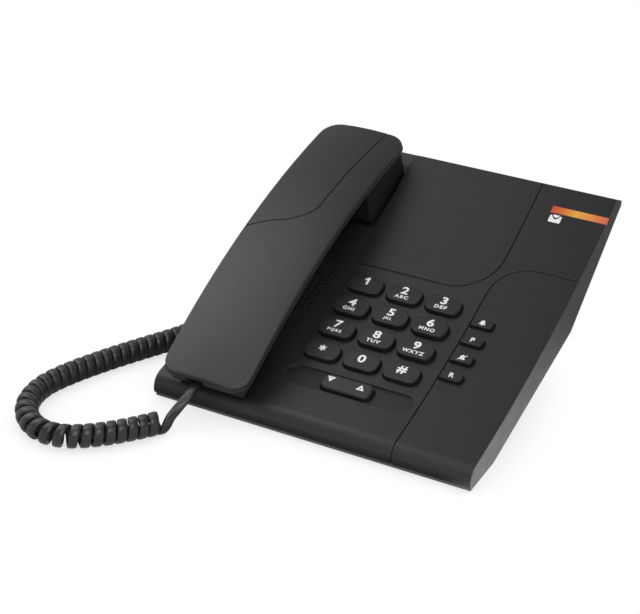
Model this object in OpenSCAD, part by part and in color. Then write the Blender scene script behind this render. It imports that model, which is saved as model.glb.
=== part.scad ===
// Corded desk telephone: sloped base, keypad, message lamp, handset and curly cord.
// Millimetres, +Z up, front of the telephone towards -Y, standing on z = 0.

/* [Base] */
// Width of the base
base_w = 182; // [176:1:196]
// Depth of the base from front to rear
base_d = 193; // [188:1:204]
// Wall of the two base shells
wall = 2.5; // [2:0.1:3]
// Radius of the hollow curve of the top, seen from the side
top_r = 620; // [560:5:800]
// Slope of the top at the front edge, degrees
front_slope = 11; // [9:0.5:13]
// Height of the top at the front edge
front_h = 12; // [11:0.5:14]
// Radius of the rolled front edge
roll_r = 8; // [6.5:0.5:9]
// Length of the front strip that lies flat on the table
flat_d = 29; // [24:1:36]
// Length of the gently rising part of the underside
rise_d = 98.5; // [90:0.5:104]
// Slope of the rising part, degrees
rise_slope = 14; // [12:0.5:15]
// Height of the rear lip above the end of the underside
rear_lip = 7.3; // [6:0.1:9]
// Depth of the sloped rear edge
rear_chamfer = 9; // [7:0.5:11]
// Height of the bottom cover's edge at the front
rim_front = 2.4; // [2:0.1:3]
// Height of the bottom cover's edge where the underside turns up
rim_bend = 4.5; // [3.5:0.1:5]
// Height of the bottom cover's edge at the rear
rim_rear = 3; // [2.5:0.1:4]
// Gap of the parting line between the shells
seam = 0.2; // [0.1:0.05:0.3]
// Width of the panel grooves
groove_w = 0.7; // [0.5:0.1:1]
// Depth of the panel grooves
groove_depth = 0.9; // [0.5:0.1:1.1]
// Radius of the bend of the rear panel's groove
groove_rear_r = 25; // [20:1:28]
// Radius of the bend of the side panel's groove
groove_side_r = 20; // [16:1:23]
// Distance of the rear panel's front groove from the front edge
groove_rear_y = 111; // [108:1:114]
// Distance of the side panel's rear groove from the front edge
groove_side_y = 132.5; // [128:0.5:140]

/* [Stand and feet] */
// Distance of the stand from the sides of the base
stand_in = 36; // [33:1:41]
// Depth of the stand
stand_d = 36; // [30:1:40]
// Wall of the stand
stand_wall = 2.5; // [2:0.1:3.5]
// Distance from the hook plunger back to the stand's middle
stand_back = 1; // [0:0.5:2]
// Radius of the rubber feet
foot_r = 6; // [5:0.5:7]
// Height of the rubber feet
foot_h = 2; // [1.8:0.1:3]
// How far the feet stand proud
foot_proud = 0.8; // [0.6:0.1:1.2]

/* [Keypad] */
// Distance of the keypad's middle from the front edge
keypad_from_front = 70.4; // [68:0.2:72]
// Distance of the keypad's middle from the cradle wall
keypad_from_cradle = 39.1; // [38:0.1:41]
// Key pitch across
key_pitch_x = 23.1; // [22.9:0.1:23.4]
// Key pitch along the slope
key_pitch_y = 17.1; // [16.6:0.1:17.3]
// Width of a dialling key
key_w = 20; // [19:0.1:20.2]
// Length of a dialling key
key_l = 11.8; // [11:0.1:12.6]
// Corner radius of a dialling key
key_r = 4.8; // [3.5:0.1:5.3]
// How far the keys stand proud
key_proud = 3; // [2.5:0.1:3.8]
// Travel of a dialling key
key_travel = 1.6; // [1:0.1:1.8]
// Gap round a key
key_gap = 0.4; // [0.3:0.05:0.5]
// Width of the lip that keeps a key in
key_lip = 0.8; // [0.6:0.1:0.9]
// Width of a function key
fkey_w = 12; // [11:0.1:13]
// Length of a function key
fkey_l = 5.6; // [5:0.1:6.4]
// Pitch of the function keys along the slope
fkey_pitch = 13; // [12:0.1:13.4]
// Rounded corner of a function key
fkey_r = 2.6; // [1.5:0.1:2.7]
// Small corner of a function key
fkey_r_small = 0.7; // [0.4:0.1:1]
// How far the function keys stand proud
fkey_proud = 2.4; // [1.8:0.1:3]
// Travel of a function key
fkey_travel = 1.2; // [0.8:0.1:1.6]
// Width of the volume rocker
rocker_w = 29; // [26:0.5:31]
// Length of the volume rocker
rocker_l = 10.6; // [9.6:0.1:10.8]
// Corner radius of the volume rocker
rocker_r = 4; // [2.5:0.1:4.5]
// Radius of the rocker's trunnions
rocker_pin_r = 1; // [0.8:0.1:1.2]
// Running clearance of the trunnions
pin_play = 0.05; // [0.03:0.01:0.1]
// Distance of the rocker from the keypad's middle, along the slope
rocker_from_keypad = 41.8; // [41:0.1:42.6]
// Length of the shallow recess round the rocker
recess_w = 73; // [60:1:78]
// Depth of that recess
recess_depth = 0.7; // [0.6:0.1:1]

/* [Lamp and grille] */
// Length of the message lamp's lens
lens_w = 32; // [28:0.5:36]
// Height of the lens
lens_l = 4.4; // [3.6:0.1:5]
// Thickness of the lens
lens_t = 1.6; // [1.2:0.1:1.8]
// Distance of the lens from the rear edge
lens_from_rear = 22.2; // [18:0.2:26]
// Diameter of the grille holes
grille_hole_d = 1.7; // [1.2:0.1:2]
// Pitch of the grille holes
grille_pitch = 3.1; // [2.6:0.1:3.2]
// Distance between the grille's columns
grille_column = 3.2; // [2.8:0.1:3.4]
// Diameter of the ringer speaker
speaker_d = 27; // [24:0.5:28]
// Height of the ringer speaker
speaker_h = 8; // [6:0.5:9]

/* [Handset] */
// Length of the handset
hs_len = 196; // [190:1:200]
// Width of the handset
hs_w = 51; // [49:0.5:52]
// Radius of the handset's arch
hs_r = 460; // [420:5:520]
// Tilt of the handset in its cradle, degrees
hs_tilt = 20; // [19:0.5:20.5]
// Corner radius of the handset, seen from above
hs_corner = 10; // [7:0.5:13]
// Height of the back cover
back_h = 8; // [7.5:0.1:9]
// Width of the slope that breaks the back cover's upper edge
back_edge = 0.8; // [0.6:0.1:1.2]
// Wall of the handset shells
hs_wall = 2; // [1.6:0.1:2.4]
// How far the front cover stands in from the back cover
front_inset = 1.5; // [1:0.1:2]
// Slope of the front cover's sides, inward for each millimetre of depth
low_taper = 0.6; // [0.55:0.05:0.65]
// Depth of the front cover along the grip
grip_depth = 9; // [8:0.5:10]
// Depth of the ear cup below the arch's middle
ear_depth = 26; // [25:0.5:27]
// Length of the ear cup
ear_len = 49; // [45:1:52]
// Radius of the ear cup's front lower edge
ear_round = 5; // [4:0.5:6]
// Chamfer under the ear end
ear_chamfer = 4; // [3:0.5:6]
// Length of the mouth cup
mouth_len = 43; // [39:1:46]
// Diameter of the earpiece receiver
receiver_d = 32; // [28:1:34]
// Gap between the resting handset and the base
rest_gap = 0.3; // [0.3:0.05:0.5]
// Distance from the left edge of the base to the handset
hs_margin = 7.7; // [6.6:0.1:9]
// Distance from the handset to the cradle wall
cradle_gap = 1.2; // [1:0.1:2.2]
// Stroke of the hook plunger
hook_stroke = 4; // [3:0.1:4.2]

/* [Cord] */
// Diameter of the cord
cord_d = 3.2; // [3:0.1:3.8]
// Outer diameter of the curls
curl_d = 12.4; // [11:0.1:13]
// Pitch of the curls on their inner side
curl_pitch = 5.3; // [5:0.1:6]

/* [Hidden] */

// Colours
black = [0.12, 0.12, 0.125];
soft_black = [0.2, 0.2, 0.205];
rubber = [0.08, 0.08, 0.08];
steel = [0.7, 0.7, 0.72];
board = [0.1, 0.35, 0.2];
lamp = [0.93, 0.45, 0.2];

// A length past every side of the telephone, for cuts
far = 300;
big_fn = 720;
eps = 0.01;

// Front and rear of the base: the handset reaches past the front by the overhang
hs_overhang = 6.5;
y_front = (hs_overhang - base_d) / 2;
y_rear = (hs_overhang + base_d) / 2;
x_left = -base_w / 2;
x_right = base_w / 2;
z_low = foot_proud;

// The top is part of a cylinder along X
arc_y = y_front - top_r * sin(front_slope);
arc_zc = front_h + top_r * cos(front_slope);
function arc_tilt(y) = asin((y - arc_y) / top_r);
function arc_z(y) = arc_zc - sqrt(top_r * top_r - (y - arc_y) * (y - arc_y));

// The rolled front edge is a circle that touches the top
roll_y = y_front + roll_r;
roll_z = arc_zc - sqrt((top_r + roll_r) * (top_r + roll_r) - (roll_y - arc_y) * (roll_y - arc_y));
roll_end_y = roll_y - roll_r * (roll_y - arc_y) / (top_r + roll_r);
tuck = roll_r - sqrt(roll_r * roll_r - (roll_z - z_low) * (roll_z - z_low));

// The underside: flat, gently rising, then steep up to the rear
bend_y = y_front + flat_d + rise_d;
bend_z = z_low + rise_d * tan(rise_slope);
rear_z = arc_z(y_rear - rear_chamfer) - rear_lip;
rear_foot_z = rear_z + rim_rear;
rear_fall = (arc_z(y_rear - rear_chamfer) - rear_foot_z) / rear_chamfer;
rear_out = unit([rear_fall, 1]);
under = [[y_front + tuck, z_low], [y_front + flat_d, z_low], [bend_y, bend_z], [y_rear, rear_z]];
rim = [rim_front, rim_front, rim_bend, rim_rear];
function under_z(y) = lookup(y, under);
function cover_top_z(y) = lookup(y, [for (i = [0 : 3]) under[i] + [0, rim[i] - seam]]);

// Places across the base
hs_x = x_left + hs_margin + hs_w / 2;
cradle_x = hs_x + hs_w / 2 + cradle_gap;
keypad_x = cradle_x + keypad_from_cradle;
keypad_y = y_front + keypad_from_front;
keypad_z = arc_z(keypad_y);
keypad_tilt = arc_tilt(keypad_y);
groove_x = keypad_x + 40;
fkey_x = groove_x + 1 + fkey_w / 2;
fkey_mid = 3.2;
lens_y = y_rear - lens_from_rear;

// Layers under the keypad, down from the top surface
lip_t = 1.2;
lip_z = -wall - 0.5 - lip_t;
membrane_t = 1;
pcb_t = 1.6;
dome_h = 3;
membrane_z = lip_z - dome_h - membrane_t;
pcb_z = membrane_z - pcb_t;
dome_r = 4;
dome_wall = 1;
pcb_from_side = 15;
pcb_x0 = -34;
pcb_x1 = x_right - keypad_x - pcb_from_side;
pcb_y0 = -50;
pcb_y1 = 45;
post_r = 3;
pilot_r = 1.25;
screw_play = 0.1;
pcb_posts = [[pcb_x0 + 5, pcb_y1 - 4], [pcb_x1 - 5, pcb_y1 - 4], [pcb_x0 + 5, -36], [pcb_x1 - 5, -36]];

// Housing screws
screw_r = 1.5;
screw_head_r = 2.9;
screw_head_h = 1.8;
screw_floor = 1.6;
boss_r = 4;
screws_front_y = y_front + 17;
screws_rear_y = bend_y - 8;
screws_in = 8;
screw_len = 9;
housing_screw_at = [for (x = [x_left + screws_in, x_right - screws_in])
    for (y = [screws_front_y, screws_rear_y]) [x, y]];
function screw_seat_z(y) = under_z(y) + screw_head_h + 2;

// Sockets and plugs of the cords
line_w = 9.8;
line_h = 6.8;
line_body = [13, 15, 11.5];
line_z = 26;
plug = [7.6, 11.7, 6.6];
plug_play = 0.15;
socket_wall = 1.7;
jack_from_front = 84.7;
jack_drop = 0.6;
jack_y = y_front + jack_from_front;
jack_z = (cover_top_z(jack_y) + arc_z(jack_y) - wall) / 2 - jack_drop;
plug_out = 2.6;

// Handset
hs_from_front = 86.3;
hs_y = y_front + hs_from_front;
hs_above = 26.5;
hs_z = arc_z(hs_y) + hs_above;
front_w = hs_w - 2 * front_inset;
front_len = hs_len - 2 * front_inset;
hs_mid = -2;
ear_end = hs_mid + hs_len / 2;
ear_s0 = hs_mid + front_len / 2 - ear_len;
mouth_s1 = hs_mid - front_len / 2 + mouth_len;
well_gap = 2.5;
well_s0 = ear_s0 - well_gap;
crown_r = 140;
hook_s = ear_s0 + 9;
hook_x = 13;
hook_w = 8;
hook_l = 10;
hook_flange = 2;
hook_flange_t = 1.5;
hook_play = 0.3;
hook_floor = -ear_depth - rest_gap;
hook_flange_z = hook_floor - wall - hook_stroke - 0.3 - hook_flange_t;
hook_stem_r = 2;
hook_seat_z = hook_flange_z - 6;
hook_box = [7, 9, 5.6];
screw_hs_s = [mouth_s1 + 3.5, ear_s0 - 9.5];
weight_s = [mouth_s1 + 25.5, ear_s0 - 23.5];
weight_w = 28;
weight_drop = 3;
receiver_h = 8;
receiver_edge = 5;
mic_d = 9.7;
mic_h = 5;
mouth_hole_in = 14;
mouth_depth = 22;

// Stand and feet: the stand carries the hook's shelf, so it keeps to the hook's place
hook_y = hs_y + hook_s * cos(hs_tilt) - hook_floor * sin(hs_tilt);
stand_w = base_w - 2 * stand_in;
stand_y0 = hook_y + stand_back - stand_d / 2;
stand_y1 = stand_y0 + stand_d;
foot_play = 0.2;
foot_sink = foot_h - foot_proud;
foot_from_front = 15;
foot_from_side = 22;
foot_from_stand = 12;
foot_at = [for (x = [-1, 1]) each [[x * (base_w / 2 - foot_from_side), y_front + foot_from_front],
    [x * (stand_w / 2 - foot_from_stand), (stand_y0 + stand_y1) / 2]]];

// Cord route: tail from the handset, the curls' middle line, tail to the base
// It is drawn for the two plugs' places below and moves with them
drawn_out = [-62, -95.2];
drawn_in = [-91.1, -9.95];
curl_z = curl_d / 2 + 0.1;
curl_r = (curl_d - cord_d) / 2;
tail_front = [[-62, -105, 16], [-63.5, -112, 12.5], [-65, -118, 9.5]];
tail_side = [[-103, -35, 9], [-101, -26, 13], [-100, -16, 20]];
curl_route = [[-69, -121], [-80, -135], [-92, -147], [-105, -155], [-119, -156], [-132, -149],
    [-140, -137], [-142, -121], [-137, -103], [-128, -83], [-119, -66], [-110, -50], [-105, -40]];
curl_rings = 8;
cord_sides = 6;

// Rounded rectangle with one radius for each corner, from the lower left, turning left
function rr4(w, l, r, steps = 8) = [for (i = [0 : 3]) for (k = [0 : steps])
    let (a = 180 + 90 * i + 90 * k / steps,
        cx = (i == 0 || i == 3) ? r[i] - w / 2 : w / 2 - r[i],
        cy = i < 2 ? r[i] - l / 2 : l / 2 - r[i])
    [cx + r[i] * cos(a), cy + r[i] * sin(a)]];
function rr(w, l, r) = rr4(w, l, [r, r, r, r]);

module along_x(w) { rotate([90, 0, 90]) linear_extrude(w, center = true) children(); }
module at_top(x, y) { translate([x, y, arc_z(y)]) rotate([arc_tilt(y), 0, 0]) children(); }
module at_keypad() { translate([keypad_x, keypad_y, keypad_z]) rotate([keypad_tilt, 0, 0]) children(); }
module at_handset() { translate([hs_x, hs_y, hs_z]) rotate([hs_tilt, 0, 0]) children(); }
module block(lo, hi) { translate(lo) cube(hi - lo); }
module top_circle(grow) { translate([arc_y, arc_zc]) circle(top_r + grow, $fn = big_fn); }

// Side outline of the top shell, drawn in by an inset; drop lowers its open side
module slab(inset, drop) {
    low = [for (i = [0 : 3]) under[i] + [i == 3 ? -inset : 0, rim[i] - drop]];
    first_y = max(roll_end_y, low[0][0]);
    foot = [y_rear - inset, rear_foot_z - inset * (1 - rear_out[0]) / rear_out[1]];
    high = foot + [-2 * rear_chamfer, 2 * rear_chamfer * rear_fall];
    difference() {
        polygon(concat([[first_y, low[0][1]]], [low[1], low[2], low[3]],
            [[foot[0], max(foot[1], low[3][1])], high, [high[0], arc_z(y_rear) + 2],
            [first_y, arc_z(y_rear) + 2]]));
        top_circle(inset);
    }
    intersection() {
        translate([roll_y, roll_z]) circle(roll_r - inset, $fn = 96);
        translate([y_front - 1, low[0][1]]) square([roll_r + 2, 4 * roll_r]);
    }
}

// Space of the ear cup over the base, grown by a wall
module ear_well(grow) {
    at_handset() block([-far, well_s0 - grow, hook_floor - grow], [cradle_x - hs_x + grow, far, far]);
}

module groove_plan() {
    rear_y = y_front + groove_rear_y;
    side_y = y_front + groove_side_y;
    half = groove_w / 2;
    r = groove_rear_r;
    q = groove_side_r;
    translate([cradle_x - half, rear_y - half]) square([groove_w, far]);
    translate([cradle_x - half, rear_y - half]) square([groove_x - r - cradle_x + half, groove_w]);
    translate([groove_x - r, rear_y + r]) intersection() {
        difference() { circle(r + half, $fn = 96); circle(r - half, $fn = 96); }
        translate([0, -2 * r]) square(2 * r);
    }
    translate([groove_x - half, rear_y + r]) square([groove_w, far]);
    translate([groove_x - half, -far]) square([groove_w, far + side_y - q]);
    translate([groove_x + q, side_y - q]) intersection() {
        difference() { circle(q + half, $fn = 96); circle(q - half, $fn = 96); }
        translate([-2 * q, 0]) square(2 * q);
    }
    translate([groove_x + q, side_y - half]) square([far, groove_w]);
}

module grooves() {
    intersection() {
        translate([0, 0, -1]) linear_extrude(far) groove_plan();
        along_x(2 * far) union() {
            top_circle(groove_depth);
            difference() {
                translate([y_front - 5, 0]) square([roll_end_y - y_front + 5, far]);
                translate([roll_y, roll_z]) circle(roll_r - groove_depth, $fn = 96);
            }
        }
    }
}

// Keypad places: columns and rows of the twelve dialling keys, then the function keys
// Shift of the dialling keys from the keypad's middle
key_shift = [-1, 2.6];
function key_at(i) = key_shift + [(i % 3 - 1) * key_pitch_x, (1.5 - floor(i / 3)) * key_pitch_y];
function fkey_at(i) = [fkey_x - keypad_x, fkey_mid + (1.5 - i) * fkey_pitch];
function fkey_shape(grow) = rr4(fkey_w + 2 * grow, fkey_l + 2 * grow,
    [fkey_r_small, fkey_r, fkey_r_small, fkey_r_small]);

module key_holes() {
    for (i = [0 : 11]) translate(key_at(i)) translate([0, 0, -2 * wall]) linear_extrude(far)
        polygon(rr(key_w + 2 * key_gap, key_l + 2 * key_gap, key_r + key_gap));
    for (i = [0 : 3]) translate(fkey_at(i)) translate([0, 0, -2 * wall]) linear_extrude(far)
        polygon(fkey_shape(key_gap));
    translate([0, -rocker_from_keypad, -2 * wall]) linear_extrude(far)
        polygon(rr(rocker_w + 2 * key_gap, rocker_l + 2 * key_gap, rocker_r + key_gap));
}

// Height of the top over the keypad's flat plane at the rocker
rocker_y = keypad_y - rocker_from_keypad * cos(keypad_tilt);
rocker_top = (arc_z(rocker_y) - keypad_z + rocker_from_keypad * sin(keypad_tilt)) * cos(keypad_tilt);
rocker_pin_z = -wall - 1.6;
rocker_low = rocker_pin_z - 1.6;
ear_t = 2;
ear_y = rocker_l / 2 + key_gap + 0.6;

module rocker_ears() {
    for (s = [-1, 1]) translate([0, s * (ear_y + ear_t / 2) - rocker_from_keypad, 0])
        block([-3, -ear_t / 2, rocker_pin_z - 2.4], [3, ear_t / 2, 0]);
}

module rocker_bore() {
    translate([0, -rocker_from_keypad, rocker_pin_z]) rotate([90, 0, 0])
        cylinder(r = rocker_pin_r + pin_play, h = rocker_l * 2, center = true, $fn = 48);
}

// Corner radius of the recess, seen from above
recess_r = 5.5;
// The recess is deepest along its rear edge, by this tilt
recess_tilt = 4.4;
module recess() {
    at_top(keypad_x, rocker_y) rotate([-recess_tilt, 0, 0])
        translate([0, 0, -recess_depth]) linear_extrude(far) polygon(rr(recess_w, rocker_l + 2.6, recess_r));
}

// Grille: two full columns and one half-full column between them
grille_from_cradle = 11.7;
grille_from_front = 87.7;
grille_x = cradle_x - grille_from_cradle;
grille_y = y_front + grille_from_front;
grille_n = 14;
module grille() {
    for (c = [-1 : 1]) for (i = [0 : (c == 0 ? 2 : 1) : grille_n - 1])
        at_top(grille_x + c * grille_column, grille_y + (i - (grille_n - 1) / 2) * grille_pitch * 0.94)
            cylinder(d = grille_hole_d, h = 4 * wall, center = true, $fn = 24);
}

speaker_play = 0.3;
speaker_rim = 1.5;
module speaker_ring() {
    at_top(grille_x, grille_y) translate([0, 0, -wall - 5]) difference() {
        cylinder(r = speaker_d / 2 + speaker_play + speaker_rim, h = 5 + wall / 2, $fn = 64);
        translate([0, 0, -1]) cylinder(r = speaker_d / 2 + speaker_play, h = far, $fn = 64);
    }
}

// Pocket of the lens, and the light's way down to the lamp
lens_play = 0.15;
light_w = 24;
light_l = 2.6;
lens_x = x_right - lens_w / 2;
module lens_pocket() {
    at_top(lens_x, lens_y) {
        block([-lens_w / 2 - lens_play, -lens_l / 2 - lens_play, -lens_t],
            [far, lens_l / 2 + lens_play, far]);
        block([-light_w / 2, -light_l / 2, -2 * wall], [light_w / 2, light_l / 2, far]);
    }
}
lamp_pcb_t = 1.2;
lamp_gap = 2;
lamp_pcb_w = 28;
lamp_pcb_l = 8;
lamp_rail = 2;
module lamp_rails() {
    for (s = [-1, 1]) at_top(lens_x - 3, lens_y)
        block([-lamp_pcb_w / 2, s * (lamp_pcb_l / 2 - lamp_rail / 2) - lamp_rail / 2, -wall - lamp_gap],
            [lamp_pcb_w / 2, s * (lamp_pcb_l / 2 - lamp_rail / 2) + lamp_rail / 2, -wall / 2]);
}

module screw_bosses() {
    for (p = housing_screw_at) translate([p[0], p[1], screw_seat_z(p[1]) + screw_floor + seam])
        cylinder(r = boss_r, h = far, $fn = 48);
}

module pcb_post_set() {
    for (p = pcb_posts) translate([p[0], p[1], pcb_z + pcb_t]) cylinder(r = post_r, h = 20, $fn = 48);
}

module jack_hole() {
    translate([x_left, jack_y, jack_z]) cube([4 * wall, plug[0] + 1, plug[2] + 1], center = true);
}

// Cradle hole of the hook plunger
module hook_hole() {
    at_handset() translate([hook_x, hook_s, hook_floor])
        cube([hook_w + 2 * hook_play, hook_l + 2 * hook_play, 4 * wall], center = true);
}

module base_top_housing() {
    color(black) difference() {
        union() {
            difference() {
                along_x(base_w) slab(0, 0);
                difference() {
                    along_x(base_w - 2 * wall) slab(wall, 20);
                    ear_well(wall);
                }
            }
            intersection() {
                along_x(base_w - wall) slab(wall / 2, -0.5);
                union() {
                    difference() { screw_bosses(); ear_well(wall / 2); }
                    at_keypad() pcb_post_set();
                    at_keypad() rocker_ears();
                    speaker_ring();
                    lamp_rails();
                }
            }
        }
        ear_well(0);
        at_keypad() key_holes();
        at_keypad() rocker_bore();
        grooves();
        recess();
        grille();
        lens_pocket();
        hook_hole();
        jack_hole();
        at_keypad() for (p = pcb_posts) translate([p[0], p[1], pcb_z])
            cylinder(r = pilot_r + screw_play, h = pcb_t + 5, $fn = 32);
        for (p = housing_screw_at) translate([p[0], p[1], 0])
            cylinder(r = screw_r + screw_play / 2, h = screw_seat_z(p[1]) + screw_len + 0.5, $fn = 32);
    }
}

// Side outline of the bottom cover's plate
module plate() {
    polygon(concat(under, [for (i = [3 : -1 : 0]) under[i] + [0, rim[i] - seam]]));
}

cover_inset = 0.3;
hook_pad = [14, 24];
hook_shelf_t = 2;

// Shelf on two ribs that carries the hook spring and the hook switch
module hook_shelf() {
    at_handset() translate([hook_x, hook_s + 1, hook_seat_z]) {
        block([-hook_pad[0] / 2, -hook_pad[1] / 2, -hook_shelf_t], [hook_pad[0] / 2, hook_pad[1] / 2, 0]);
        for (s = [-1, 1]) translate([s * (hook_pad[0] - hook_shelf_t) / 2, 0, 0])
            block([-hook_shelf_t / 2, -hook_pad[1] / 2, -far],
                [hook_shelf_t / 2, hook_pad[1] / 2, -hook_shelf_t / 2]);
    }
}

module base_bottom_cover() {
    jack_shelf_z = line_z - line_body[2] / 2;
    color(black) difference() {
        union() {
            along_x(base_w - 2 * cover_inset) plate();
            intersection() {
                block([-stand_w / 2, stand_y0, z_low], [stand_w / 2, stand_y1, far]);
                along_x(far) polygon(concat([under[0] - [0, far]], [under[3] - [0, far]],
                    [for (i = [3 : -1 : 0]) under[i] + [0, rim[i] - seam - 0.3]]));
            }
            for (p = housing_screw_at) translate([p[0], p[1], under_z(p[1]) + 1])
                cylinder(r = boss_r + 1, h = screw_seat_z(p[1]) + screw_floor - under_z(p[1]) - 1, $fn = 48);
        }
        difference() {
            block([stand_wall - stand_w / 2, stand_y0 + stand_wall, z_low + stand_wall],
                [stand_w / 2 - stand_wall, stand_y1 - stand_wall, far]);
            block([-line_body[0] / 2, stand_y0, 0], [line_body[0] / 2, stand_y1, jack_shelf_z]);
            hook_shelf();
        }
        translate([0, stand_y1, line_z]) cube([line_w, 4 * stand_wall, line_h], center = true);
        for (p = foot_at) translate([p[0], p[1], -1])
            cylinder(r = foot_r + foot_play, h = z_low + foot_sink + 1, $fn = 64);
        for (p = housing_screw_at) {
            translate([p[0], p[1], -1])
                cylinder(r = screw_head_r + 0.3, h = screw_seat_z(p[1]) + 1, $fn = 48);
            translate([p[0], p[1], -1]) cylinder(r = screw_r + 0.3, h = far, $fn = 32);
        }
    }
}

module rubber_feet() {
    color(rubber) for (p = foot_at) translate([p[0], p[1], 0]) rotate_extrude($fn = 64)
        polygon([[0, 0], [foot_r - 0.6, 0], [foot_r, 0.6], [foot_r, foot_h], [0, foot_h]]);
}

module screw(r, head_r, head_h, len) {
    difference() {
        union() {
            translate([0, 0, -head_h]) cylinder(r = head_r, h = head_h, $fn = 48);
            translate([0, 0, -eps]) cylinder(r = r, h = len, $fn = 32);
        }
        for (a = [0, 90]) rotate([0, 0, a]) translate([0, 0, -head_h])
            cube([head_r * 1.3, head_r * 0.26, head_h], center = true);
    }
}

module housing_screws() {
    color(steel) for (p = housing_screw_at) translate([p[0], p[1], screw_seat_z(p[1])])
        screw(screw_r, screw_head_r, screw_head_h, screw_len);
}

module main_pcb() {
    color(board) at_keypad() difference() {
        block([pcb_x0, pcb_y0, pcb_z], [pcb_x1, pcb_y1, pcb_z + pcb_t]);
        for (p = pcb_posts) translate([p[0], p[1], pcb_z - 1])
            cylinder(r = pilot_r + screw_play, h = 4, $fn = 32);
    }
}

module pcb_screws() {
    color(steel) at_keypad() for (p = pcb_posts) translate([p[0], p[1], pcb_z])
        screw(pilot_r, 2.4, 1.4, pcb_t + 4.5);
}

// One rubber dome, with its contact pill's room open below
module dome(r, h) {
    difference() {
        cylinder(r = r, h = h + membrane_t, $fn = 32);
        dome_room(r, h);
    }
}
module dome_room(r, h) { translate([0, 0, -1]) cylinder(r = r - dome_wall, h = h + membrane_t, $fn = 32); }

fdome_r = 2.2;
rocker_press = 9;
rocker_dome_h = rocker_low - membrane_z - membrane_t;
module keypad_membrane() {
    edge = 6;
    color([0.55, 0.56, 0.58]) at_keypad() translate([0, 0, membrane_z]) difference() {
        union() {
            block([key_at(0)[0] - edge, pcb_y0 + 2.5, 0],
                [fkey_at(0)[0] + fkey_w / 2 + 1, key_at(0)[1] + edge, membrane_t]);
            for (i = [0 : 11]) translate(key_at(i)) dome(dome_r, dome_h);
            for (i = [0 : 3]) translate(fkey_at(i)) dome(fdome_r, dome_h);
            for (s = [-1, 1]) translate([s * rocker_press, -rocker_from_keypad, 0])
                dome(fdome_r, rocker_dome_h);
        }
        for (i = [0 : 11]) translate(key_at(i)) dome_room(dome_r, dome_h);
        for (i = [0 : 3]) translate(fkey_at(i)) dome_room(fdome_r, dome_h);
        for (s = [-1, 1]) translate([s * rocker_press, -rocker_from_keypad, 0])
            dome_room(fdome_r, rocker_dome_h);
        for (p = pcb_posts) translate([p[0], p[1], -1]) cylinder(r = post_r + 0.5, h = far, $fn = 32);
    }
}

module ringer_speaker() {
    color([0.25, 0.25, 0.27]) at_top(grille_x, grille_y)
        translate([0, 0, -wall - speaker_play]) rotate([180, 0, 0]) rotate_extrude($fn = 64)
            polygon([[0, 0.8], [speaker_d / 2 - 2, 0.8], [speaker_d / 2 - 2, 0],
            [speaker_d / 2, 0], [speaker_d / 2, 3.5], [speaker_d * 0.3, speaker_h - 2],
            [speaker_d * 0.3, speaker_h], [0, speaker_h]]);
}

module hook_plunger() {
    color(black) at_handset() translate([hook_x, hook_s, 0]) {
        block([-hook_w / 2, -hook_l / 2, hook_flange_z + hook_flange_t / 2],
            [hook_w / 2, hook_l / 2, hook_floor]);
        block([-hook_w / 2 - hook_flange, -hook_l / 2 - hook_flange, hook_flange_z],
            [hook_w / 2 + hook_flange, hook_l / 2 + hook_flange, hook_flange_z + hook_flange_t]);
        translate([0, -4, hook_flange_z - 2]) cylinder(r = hook_stem_r, h = 2.5, $fn = 32);
    }
}

module hook_spring() {
    color(steel) at_handset() translate([hook_x, hook_s - 4, hook_seat_z]) difference() {
        cylinder(r = hook_stem_r + 1.2, h = hook_flange_z - hook_seat_z, $fn = 32);
        translate([0, 0, -1]) cylinder(r = hook_stem_r + 0.3, h = far, $fn = 32);
    }
}

module hook_switch() {
    color([0.15, 0.2, 0.3]) at_handset() translate([hook_x, hook_s + 5.5, hook_seat_z])
        block([-hook_box[0] / 2, -hook_box[1] / 2, 0], [hook_box[0] / 2, hook_box[1] / 2, hook_box[2]]);
}

module line_jack() {
    y1 = stand_y1 - stand_wall;
    color([0.75, 0.75, 0.72]) difference() {
        block([-line_body[0] / 2, y1 - line_body[1], line_z - line_body[2] / 2],
            [line_body[0] / 2, y1, line_z + line_body[2] / 2]);
        block([-line_w / 2, y1 - line_body[1] + 2, line_z - line_h / 2],
            [line_w / 2, far, line_z + line_h / 2]);
    }
}

// Small four-way socket, open towards -Y, its mouth at y = 0
socket_half = [plug[0] / 2 + plug_play + socket_wall, 0, plug[2] / 2 + plug_play + socket_wall];
socket_end = [0, plug[1] + socket_wall - plug_out, 0];
socket_room = 0.2;
module small_socket() {
    difference() {
        block(-socket_half, socket_end + socket_half);
        block([-plug[0] / 2 - plug_play, -1, -plug[2] / 2 - plug_play],
            [plug[0] / 2 + plug_play, plug[1] - plug_out, plug[2] / 2 + plug_play]);
    }
}

// Plug with its latch, seated in a socket whose mouth is at y = 0
module small_plug() {
    block([-plug[0] / 2, -plug_out, -plug[2] / 2], [plug[0] / 2, plug[1] - plug_out, plug[2] / 2]);
    block([-1.6, -plug_out - 2, plug[2] / 2 - 1], [1.6, 2, plug[2] / 2]);
}

module at_base_socket() { translate([x_left + wall, jack_y, jack_z]) rotate([0, 0, -90]) children(); }
socket_x = -4.2;
socket_in = 5;
socket_s = hs_mid - front_len / 2 + socket_in;
socket_h = socket_s * socket_s / (-2 * hs_r) - 0.6;
module at_handset_socket() { at_handset() translate([socket_x, socket_s, socket_h]) children(); }

module plug_notch() {
    notch = [plug[0] + 2.8, plug[2] + 2.4];
    block([socket_x - notch[0] / 2, socket_s - plug[1], socket_h - notch[1] / 2],
        [socket_x + notch[0] / 2, socket_s + hs_wall, socket_h + notch[1] / 2]);
}

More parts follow.
